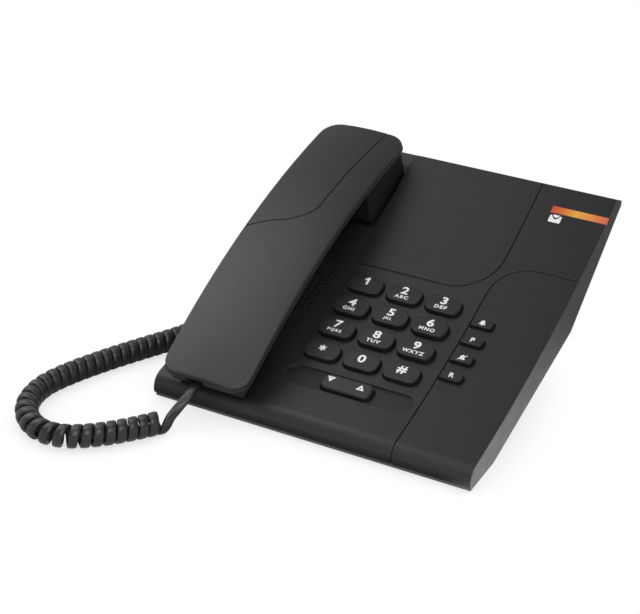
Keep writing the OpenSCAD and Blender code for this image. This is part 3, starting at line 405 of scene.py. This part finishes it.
def lens_material():
    mat, nt, bsdf = material("lens")
    link = nt.links.new
    coord = nt.nodes.new("ShaderNodeTexCoord").outputs["Object"]
    colour = ramp(nt, remap(nt, axes(nt, coord)["X"], LENS_ENDS), LENS_TONES)
    link(colour, bsdf.inputs["Base Color"])
    link(colour, bsdf.inputs["Emission Color"])
    bsdf.inputs["Emission Strength"].default_value = 0.5
    bsdf.inputs["Roughness"].default_value = 0.22
    waves = relief(nt, noise(nt, coord, 350), 0.1, 0.0003)
    link(waves.outputs["Normal"], bsdf.inputs["Normal"])
    return mat


# Bottom cover: as the housing, with a painted highlight along its lower front edge where it faces the front,
# in metres
HIGHLIGHT_FACING, HIGHLIGHT_PLACE, HIGHLIGHT_COLOUR = (-0.3, -0.6), (-0.086, -0.089), (0.13, 0.13, 0.13)


def cover_material():
    mat = plastic("cover", **HOUSING_LOOK)
    nt = mat.node_tree
    base = nt.nodes["Principled BSDF"].inputs["Base Color"]
    place = nt.nodes.new("ShaderNodeNewGeometry").outputs
    facing = remap(nt, axes(nt, place["Normal"])["Y"], HIGHLIGHT_FACING)
    painted_highlight = remap(nt, axes(nt, place["Position"])["Y"], HIGHLIGHT_PLACE, (0.0, facing))
    # The paler colour is a painted highlight, blended in where the cover faces the front
    nt.links.new(mix_colour(nt, painted_highlight, base.links[0].from_socket, HIGHLIGHT_COLOUR), base)
    return mat


for node_mat, names in (
        # The handset's front cover takes the housing's plastic, darker than the handset's back: painted shade
        # on the handset's underside
        (HOUSING, ["base_top_housing", "hook_plunger", "handset_front_cover"]),
        (cover_material(), ["base_bottom_cover"]),
        (RUBBER, ["rubber_feet"]),
        (STEEL, ["housing_screws", "pcb_screws", "handset_screws", "hook_spring", "handset_weight"]),
        (BOARD, ["main_pcb", "lamp_pcb"]),
        (INNER, ["ringer_speaker", "hook_switch", "handset_jack", "handset_socket", "earpiece_receiver"]),
        (PALE, ["line_jack", "lamp_led"]),
        (CAPSULE, ["microphone_capsule"]),
        (lens_material(), ["message_lamp_lens"]),
        (CORD, ["handset_plug", "base_plug"])):
    for name in names:
        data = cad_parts[name].data
        data.materials.clear()
        data.materials.append(node_mat)
cord.data.materials.append(CORD)


# Keys: caps with rounded edges and the lip under the housing
LIP_LOW, LIP_TOP, LIP_OUT = -4.2, -3.0, 1.2
CAP_TAPER, CAP_FILLET, CAP_FLAT = 0.15, 0.5, 0.5
DIAL_W, DIAL_L, DIAL_R, DIAL_PROUD = 20, 11.8, 4.8, 3.0
DIAL_X, DIAL_V, PITCH_X, PITCH_V = -1, 2.6, 23.1, 17.1
FUNCTION_W, FUNCTION_L, FUNCTION_R, FUNCTION_PROUD = 12, 5.6, 2.6, 2.4
FUNCTION_X, FUNCTION_V, FUNCTION_PITCH = 47, 3.2, 13


def rounded_edge(taper, fillet, top, n):
    quarter = [math.pi / 2 * k / n for k in range(n + 1)]
    return [(-taper - fillet * (1 - math.cos(a)), top - fillet * (1 - math.sin(a))) for a in quarter]


def key(node, at, outline, proud):
    steps = [(LIP_OUT, LIP_LOW), (LIP_OUT, LIP_TOP), (0, LIP_TOP), (0, 0)]
    steps += rounded_edge(CAP_TAPER, CAP_FILLET, proud, 6)
    steps.append((-CAP_TAPER - CAP_FILLET - CAP_FLAT, proud))
    bm = bmesh.new()
    loft(bm, [[on_keys(at[0] + x, at[1] + v, h) for x, v in outline(grow)] for grow, h in steps])
    dress(add("cap_" + node[4:], bm, 40), KEYS, node + "_body", node)


def dial_outline(grow):
    return rounded(DIAL_W + 2 * grow, DIAL_L + 2 * grow, [DIAL_R + min(0, grow)] * 4)


def function_outline(grow):
    small = max(0.3, 0.7 + min(0, grow) * 0.5)
    radii = [small, FUNCTION_R + min(0, grow), small, small]
    return rounded(FUNCTION_W + 2 * grow, FUNCTION_L + 2 * grow, radii)


# Marks: letters and signs become flat meshes a hair above what carries them
HAIR = 0.03
BOLD = 0.03


def glyphs(text, height, bold=BOLD, spread=1.0):
    data = bpy.data.curves.new("mark", "FONT")
    data.body = text
    data.align_x = "CENTER"
    data.size = 1
    data.offset = bold
    data.space_character = spread
    data.resolution_u = 6
    obj = bpy.data.objects.new("mark", data)
    scene.collection.objects.link(obj)
    mesh = bpy.data.meshes.new_from_object(obj.evaluated_get(bpy.context.evaluated_depsgraph_get()))
    verts = [v.co.copy() for v in mesh.vertices]
    faces = [list(p.vertices) for p in mesh.polygons]
    bpy.data.objects.remove(obj)
    bpy.data.meshes.remove(mesh)
    bpy.data.curves.remove(data)
    lo = min(v.y for v in verts)
    k = height / (max(v.y for v in verts) - lo)
    cx = (max(v.x for v in verts) + min(v.x for v in verts)) / 2
    return [((v.x - cx) * k, (v.y - lo) * k - height / 2) for v in verts], faces


def shape(*polys):
    verts, faces = [], []
    for poly in polys:
        faces.append(list(range(len(verts), len(verts) + len(poly))))
        verts += poly
    return verts, faces


def on_cap(at, proud, hair=HAIR):
    def place(x, v, h=hair):
        return on_keys(at[0] + x, at[1] + v, proud + h)
    return place


# Each part of a mark is its outline, its place across and along, and how wide it is drawn
def mark(name, place, parts, body, mat):
    bm = bmesh.new()
    for (verts, faces), x0, v0, wide in parts:
        vs = [bm.verts.new(place(x0 + x * wide, v0 + v)) for x, v in verts]
        for f in faces:
            bm.faces.new([vs[i] for i in f])
    obj = add(name, bm)
    up = place(0, 0, 1) - place(0, 0, 0)
    if obj.data.polygons[0].normal.dot(up) < 0:
        obj.data.flip_normals()
    dress(obj, mat, body)


DIGITS = "1 2 3 4 5 6 7 8 9 * 0 #".split()
LETTERS = ["", "ABC", "DEF", "GHI", "JKL", "MNO", "PQRS", "TUV", "WXYZ", "", "", ""]
DIAL_NODES = ["key_" + name for name in "1 2 3 4 5 6 7 8 9 star 0 hash".split()]
DIGIT_H, LETTER_H, MARK_X = 5.3, 2.4, -0.4
ONE = [(0.05, -2.65), (1.35, -2.65), (1.35, 2.65), (0.35, 2.65), (-1.35, 1.35), (-1.35, 0.1), (0.05, 0.95)]
STAR = [(r * math.sin(math.pi * k / 6), r * math.cos(math.pi * k / 6)) for k, r in enumerate([2.5, 1.25] * 6)]
KEY_AT = {}
for i, node in enumerate(DIAL_NODES):
    KEY_AT[node] = ((i % 3 - 1) * PITCH_X + DIAL_X, (1.5 - i // 3) * PITCH_V + DIAL_V)
    key(node, KEY_AT[node], dial_outline, DIAL_PROUD)
    if DIGITS[i] == "*":
        parts = [(shape(STAR), MARK_X, 1.2, 1)]
    elif DIGITS[i] == "1":
        parts = [(shape(ONE), MARK_X, 2.2, 1)]
    elif LETTERS[i]:
        parts = [(glyphs(DIGITS[i], DIGIT_H), MARK_X, 2.3, 1.22),
                 (glyphs(LETTERS[i], LETTER_H, 0.035, 1.25), -0.6, -2.5, 1.12)]
    else:
        parts = [(glyphs(DIGITS[i], DIGIT_H), MARK_X, 1.2, 1.25)]
    mark("print_" + node[4:], on_cap(KEY_AT[node], DIAL_PROUD), parts, node + "_body", PRINT)

BELL = [(-2.0, -1.3), (2.0, -1.3), (2.0, -0.95), (1.45, -0.5), (1.35, 0.5), (0.95, 1.25), (0.4, 1.55),
        (0.35, 1.9), (-0.35, 1.9), (-0.4, 1.55), (-0.95, 1.25), (-1.35, 0.5), (-1.45, -0.5), (-2.0, -0.95)]
CLAPPER = [(-0.5, -1.55), (0.5, -1.55), (0.3, -1.95), (-0.3, -1.95)]
SLASH = [(-2.1, -1.75), (-1.75, -2.0), (2.1, 1.65), (1.75, 1.95)]
SIGN_H = 3.1
BELL_PART = (shape(BELL, CLAPPER), 0, 0.3, 0.9)
FUNCTION_MARKS = {"key_ringer": [BELL_PART], "key_pause": [(glyphs("P", SIGN_H), 0, 0.4, 1.1)],
                  "key_mute": [BELL_PART, (shape(SLASH), 0, 0.3, 1.1)],
                  "key_flash": [(glyphs("R", SIGN_H), 0, 0.4, 1.1)]}
for i, (node, parts) in enumerate(FUNCTION_MARKS.items()):
    KEY_AT[node] = (FUNCTION_X, FUNCTION_V + (1.5 - i) * FUNCTION_PITCH)
    key(node, KEY_AT[node], function_outline, FUNCTION_PROUD)
    mark("print_" + node[4:], on_cap(KEY_AT[node], FUNCTION_PROUD), parts, node + "_body", PRINT)


# Volume rocker with its trunnions
ROCK_V, ROCK_TOP, ROCK_LOW = -41.8, 3.78, -5.7
ROCK_W, ROCK_L, ROCK_R, ROCK_TAPER, ROCK_FILLET, ROCK_FLAT = 29, 10.6, 4, 0.3, 1.1, 2
PIN_Z = -4.1
# Ends of the trunnions: place along the pin, radius
PIN = [(-8.3, 0.8), (-8.1, 1.0), (8.1, 1.0), (8.3, 0.8)]


def rocker_outline(grow):
    return rounded(ROCK_W + 2 * grow, ROCK_L + 2 * grow, [ROCK_R + grow] * 4)


def rocker():
    steps = [(0, ROCK_LOW), (0, 0)] + rounded_edge(ROCK_TAPER, ROCK_FILLET, ROCK_TOP, 7)
    steps.append((-ROCK_FLAT, ROCK_TOP))
    bm = bmesh.new()
    loft(bm, [[on_keys(x, ROCK_V + v, h) for x, v in rocker_outline(grow)] for grow, h in steps])
    loft(bm, [[on_keys(r * c, ROCK_V + v, PIN_Z + r * s) for c, s in circle(32)] for v, r in PIN])
    dress(add("rocker_cap", bm, 40), KEYS, "rocker", "volume_rocker")


rocker()
ROCK_AT = (0, ROCK_V)
DOWN_X, UP_X = -9.8, 7.6
DOWN = [(-2.3, 1.7), (0, -1.9), (2.3, 1.7)]
UP = [(-2.3, -1.7), (2.3, -1.7), (0, 1.9)]
mark("print_rocker", on_cap(ROCK_AT, ROCK_TOP), [(shape(DOWN), DOWN_X, 1.2, 1), (shape(UP), UP_X, 0.9, 1)],
     "rocker", PRINT)
DASH = [(-0.75, -0.16), (0.75, -0.16), (0.75, 0.16), (-0.75, 0.16)]
POST = [(-0.16, -0.75), (0.16, -0.75), (0.16, 0.75), (-0.16, 0.75)]
mark("sign_rocker", on_cap(ROCK_AT, ROCK_TOP, 2 * HAIR),
     [(shape(DASH), DOWN_X, 1.9, 1), (shape(DASH), UP_X, 0.3, 1), (shape(POST), UP_X, 0.3, 1)],
     "rocker", KEYS)

# Envelope mark below the lamp
ENVELOPE_X, ENVELOPE_Y = 63.2, 72.3


def envelope_place(x, v, h=HAIR):
    return on_top(ENVELOPE_X + x, ENVELOPE_Y + v, h)


def dip(wide, top, low, n=12):
    run = [1 - 2 * k / n for k in range(n + 1)]
    return [(wide * t, top - (top - low) * (1 - t ** 2)) for t in run]


ENVELOPE = shape([(-3.4, -2.0), (-3.0, -2.4), (3.0, -2.4), (3.4, -2.0), (3.4, 1.6)] + dip(2.5, 1.9, -0.4)
                 + [(-3.4, 1.6)], dip(2.0, 2.3, 0.5))
mark("print_envelope", envelope_place, [(ENVELOPE, 0, 0, 1)], "base", PRINT)

# Handset back cover: arched, crowned shell with crisp edges, a groove and a notch for the plug
HS_R, HS_HALF, S0, S1, CORNER, LEAST_CORNER = 460.0, 25.5, -100.0, 96.0, 10.0, 0.4
EDGE, CROWN_R, CROWN_H, SHELL_T = 0.8, 140.0, 8, 2.2
# Profile of the wall from its foot: inset, share of the wall's height
WALL = [(2.2, 0), (1.6, 0), (0.3, 0.48), (0, 0.51), (-0.2, 0.55), (-0.2, 0.62), (0, 0.66)]
INSETS = [0, 0.03, 0.11, 0.23, 0.4, 0.6, 0.8, 2.2, 3.2, 4.4, 5.6, 7, 9, 12, 15, 18, 21, 24]
N_LONG, N_SHORT, N_CORNER = 70, 14, 8
GROOVE = [(-27.4, -2.8), (-23.8, -1.2), (-12.4, 4.5), (-3.6, 8), (3.9, 14.1), (8, 21.3), (8.9, 34.9),
          (10.4, 62.9), (12.8, 93.9), (13.6, 105)]
GROOVE_HALF, GROOVE_DEEP, GROOVE_OVER = 0.4, 0.6, 4
NOTCH_X, NOTCH_S, NOTCH_W, NOTCH_L, NOTCH_R = -4.2, -97.5, 10.4, 12, 1.2
NOTCH_ENDS = (-14.6, -5.6)


def arch_h(s, f):
    return math.sqrt((HS_R + f) ** 2 - s * s) - HS_R


def wall_h(x):
    return CROWN_H - CROWN_R + math.sqrt(CROWN_R ** 2 - x * x) - EDGE


def back_h(x, s, d):
    e = EDGE - min(d, EDGE)
    return arch_h(s, wall_h(x) + math.sqrt(EDGE ** 2 - e * e))


def plan_ring(d):
    w, lo, hi = HS_HALF - d, S0 + d, S1 - d
    r = max(CORNER - d, LEAST_CORNER)
    pts = []

    def line(a, b, n):
        for k in range(n):
            pts.append((a[0] + (b[0] - a[0]) * k / n, a[1] + (b[1] - a[1]) * k / n))

    def corner(cx, cy, a0):
        for k in range(N_CORNER):
            a = math.radians(a0 + 90 * k / N_CORNER)
            pts.append((cx + r * math.cos(a), cy + r * math.sin(a)))
    line((-w + r, lo), (w - r, lo), N_SHORT)
    corner(w - r, lo + r, -90)
    line((w, lo + r), (w, hi - r), N_LONG)
    corner(w - r, hi - r, 0)
    line((w - r, hi), (-w + r, hi), N_SHORT)
    corner(-w + r, hi - r, 90)
    line((-w, hi - r), (-w, lo + r), N_LONG)
    corner(-w + r, lo + r, 180)
    return pts


def under_h(x, s, d):
    return max(back_h(x, s, d) - SHELL_T, arch_h(s, 0))


def back_cover():
    deep = [d for d in reversed(INSETS) if d >= SHELL_T]
    inner = [[on_handset(x, s, under_h(x, s, d)) for x, s in plan_ring(d)] for d in deep]
    wall = [[on_handset(x, s, arch_h(s, f * wall_h(x))) for x, s in plan_ring(d)] for d, f in WALL]
    outer = [[on_handset(x, s, back_h(x, s, d)) for x, s in plan_ring(d)] for d in INSETS]
    rings = inner + wall + outer
    bm = bmesh.new()
    loft(bm, rings, caps=False)
    bm.verts.ensure_lookup_table()
    n = len(rings[0])
    far = N_SHORT + 2 * N_CORNER + N_LONG
    right = list(range(N_SHORT, far + 1))
    left = [k % n for k in range(n, n - len(right), -1)]
    # The innermost rings are closed by strips from side to side and by a face at each end
    for base in (0, (len(rings) - 1) * n):
        for a, b, c, d in zip(right, right[1:], left, left[1:]):
            bm.faces.new([bm.verts[base + k] for k in (a, b, d, c)])
        for row in (range(N_SHORT + 1), range(far, far + N_SHORT + 1)):
            bm.faces.new([bm.verts[base + k] for k in row])
    return add("handset_shell", bm, 30)


def groove_tool():
    line = curve([Vector(p) for p in GROOVE], 8)
    corners = ((1, -GROOVE_DEEP), (-1, -GROOVE_DEEP), (-1, GROOVE_OVER), (1, GROOVE_OVER))
    rings = []
    for i, p in enumerate(line):
        t = heading(line, i)
        side = Vector((-t.y, t.x)) * GROOVE_HALF
        s = min(p.y, S1)
        top = back_h(p.x, s, min(HS_HALF - abs(p.x), S1 - s) if abs(p.x) < HS_HALF else 0)
        rings.append([on_handset(p.x + k * side.x, p.y + k * side.y, top + h) for k, h in corners])
    bm = bmesh.new()
    loft(bm, rings)
    return bm


def notch_tool():
    plan = rounded(NOTCH_W, NOTCH_L, [NOTCH_R] * 4)
    bm = bmesh.new()
    loft(bm, [[on_handset(NOTCH_X + x, NOTCH_S + s, h) for x, s in plan] for h in NOTCH_ENDS])
    return bm


shell = back_cover()
cut(shell, groove_tool())
cut(shell, notch_tool())
dress(shell, HANDSET, "handset", "handset_back_cover")

# Rubber mat under the keys: a sheet, and domes that the keys press flat
MAT_LOW, MAT_TOP = -8.2, -7.2
MAT_X, MAT_V, MAT_W, MAT_L, MAT_R = 11.95, -6.625, 84.1, 81.75, 1.5
HOLE_X, HOLE_V, HOLE_R, HOLE_OVER = -29, -36, 3.5, 2
# Radius of a dome, and the share of its height that is left when it is pressed
DIAL_DOME, FUNCTION_DOME, ROCK_DOME = (4.0, 0.44), (2.2, 0.57), (2.2, 0.5)
DOME_GAP, ROCK_PRESS = 0.1, 9.0


def round_ring(x, v, r, h):
    return [on_keys(x + r * c, v + r * s, h) for c, s in circle(24)]


def key_mat():
    plan = rounded(MAT_W, MAT_L, [MAT_R] * 4)
    bm = bmesh.new()
    loft(bm, [[on_keys(MAT_X + x, MAT_V + v, h) for x, v in plan] for h in (MAT_LOW, MAT_TOP)])
    sheet = add("key_mat", bm)
    hole = bmesh.new()
    loft(hole, [round_ring(HOLE_X, HOLE_V, HOLE_R, h) for h in (MAT_LOW - HOLE_OVER, MAT_TOP + HOLE_OVER)])
    cut(sheet, hole)
    dress(sheet, SILICONE, "base", "keypad_membrane")


def dome(name, at, form, carried):
    r, keep = form
    top = carried - DOME_GAP
    sides = [(1, MAT_TOP - 0.3), (1, MAT_TOP + 0.2), (0.86, MAT_TOP + 0.5), (0.8, top - 0.3),
             (0.76, top - 0.1), (0.68, top)]
    bm = bmesh.new()
    loft(bm, [round_ring(at[0], at[1], r * share, h) for share, h in sides])
    obj = add("dome_" + name, bm, 40)
    dress(obj, SILICONE, "base")
    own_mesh(obj)


key_mat()
for node, at in KEY_AT.items():
    dome(node[4:], at, FUNCTION_DOME if node in FUNCTION_MARKS else DIAL_DOME, LIP_LOW)
for name, x in (("rocker_down", -ROCK_PRESS), ("rocker_up", ROCK_PRESS)):
    dome(name, (x, ROCK_V), ROCK_DOME, ROCK_LOW)

# Contacts in the line socket
WIRES, WIRE_X, WIRE_R = 6, -2.5, 0.2
WIRE_LINE = [(71.4, 28.8), (63.4, 28.4), (59.0, 24.4)]
bm = bmesh.new()
for k in range(WIRES):
    line = curve([Vector((WIRE_X + k, y, z)) for y, z in WIRE_LINE], 4)
    loft(bm, [[(p + Vector((WIRE_R * c, 0, WIRE_R * s))) * MM for c, s in circle(8)] for p in line])
dress(add("line_contacts", bm, 60), GOLD, "base")

# Floor, world and lights
WHITE = (1, 1, 1, 1)
PALE_FLOOR = (0.85, 0.85, 0.85, 1)
# What the gloss reflects from the floor, by place in metres: painted light that is brightest at the front and
# less to the rear, and painted shade under the telephone
PAINTED_LIGHT_BACK = ((-0.07, 0.09), (1.7, 0.4))
PAINTED_SHADE_SIDE = (0.075, 0.095)
PAINTED_SHADE_LEVEL = ((-0.135, -0.105), (0.35, 0.1))
# Faint shadow where the telephone stands: reach in metres, then openness to brightness
CONTACT_REACH, CONTACT = 0.03, ((0.1, 0.85), (0.72, 1.0))
# Brightness of the world by height
SKY = ((0.0, 1.0), (0.5, 0.45), (0.75, 0.38), (0.9, 0.1), (1.0, 0.05))


def floor_material():
    mat, nt, _ = material("floor")
    nt.nodes.clear()
    path = nt.nodes.new("ShaderNodeLightPath").outputs
    place = axes(nt, nt.nodes.new("ShaderNodeNewGeometry").outputs["Position"])
    # Painted shade under the telephone and painted light falling off to the rear, in what the gloss reflects
    under = remap(nt, place["Y"], *PAINTED_SHADE_LEVEL)
    across = remap(nt, place["X"], PAINTED_SHADE_SIDE, (under, 1.0))
    gloss = maths(nt, "MULTIPLY", remap(nt, place["Y"], *PAINTED_LIGHT_BACK), across)
    contact = nt.nodes.new("ShaderNodeAmbientOcclusion")
    contact.inputs["Distance"].default_value = CONTACT_REACH
    seen = maths(nt, "MULTIPLY", path["Is Camera Ray"], remap(nt, contact.outputs["AO"], *CONTACT))
    white = nt.nodes.new("ShaderNodeEmission")
    white.inputs["Color"].default_value = WHITE
    nt.links.new(maths(nt, "MULTIPLY_ADD", path["Is Glossy Ray"], gloss, seen), white.inputs["Strength"])
    body = nt.nodes.new("ShaderNodeBsdfDiffuse")
    body.inputs["Color"].default_value = PALE_FLOOR
    bright = maths(nt, "MAXIMUM", path["Is Camera Ray"], path["Is Glossy Ray"])
    mix_surface(nt, "ShaderNodeOutputMaterial", bright, body.outputs["BSDF"], white.outputs["Emission"])
    return mat


def make_world():
    world = bpy.data.worlds.new("world")
    world.use_nodes = True
    nt = world.node_tree
    nt.nodes.clear()
    path = nt.nodes.new("ShaderNodeLightPath").outputs
    seen = nt.nodes.new("ShaderNodeBackground")
    seen.inputs["Color"].default_value = WHITE
    soft = nt.nodes.new("ShaderNodeBackground")
    height = axes(nt, nt.nodes.new("ShaderNodeTexCoord").outputs["Generated"])["Z"]
    nt.links.new(ramp(nt, height, [(pos, (level,) * 3) for pos, level in SKY]), soft.inputs["Color"])
    mix_surface(nt, "ShaderNodeOutputWorld", path["Is Camera Ray"], soft.outputs["Background"],
                seen.outputs["Background"])
    return world


def area(name, at, aim, size, power):
    data = bpy.data.lights.new(name, "AREA")
    data.shape = "RECTANGLE"
    data.size, data.size_y = size
    data.energy = power
    obj = bpy.data.objects.new(name, data)
    scene.collection.objects.link(obj)
    obj.location = at
    obj.rotation_euler = (Vector(aim) - Vector(at)).to_track_quat("-Z", "Y").to_euler()


bm = bmesh.new()
bmesh.ops.create_grid(bm, x_segments=8, y_segments=8, size=4.0)
floor = add("floor", bm)
floor.data.materials.append(floor_material())
scene.world = make_world()
area("soft_box", (-0.3, -0.02, 0.36), (-0.06, -0.01, 0.03), (0.3, 0.5), 0.84)
area("fill", (0.16, -0.47, 0.75), (0, 0, 0.03), (0.5, 0.5), 2.6)
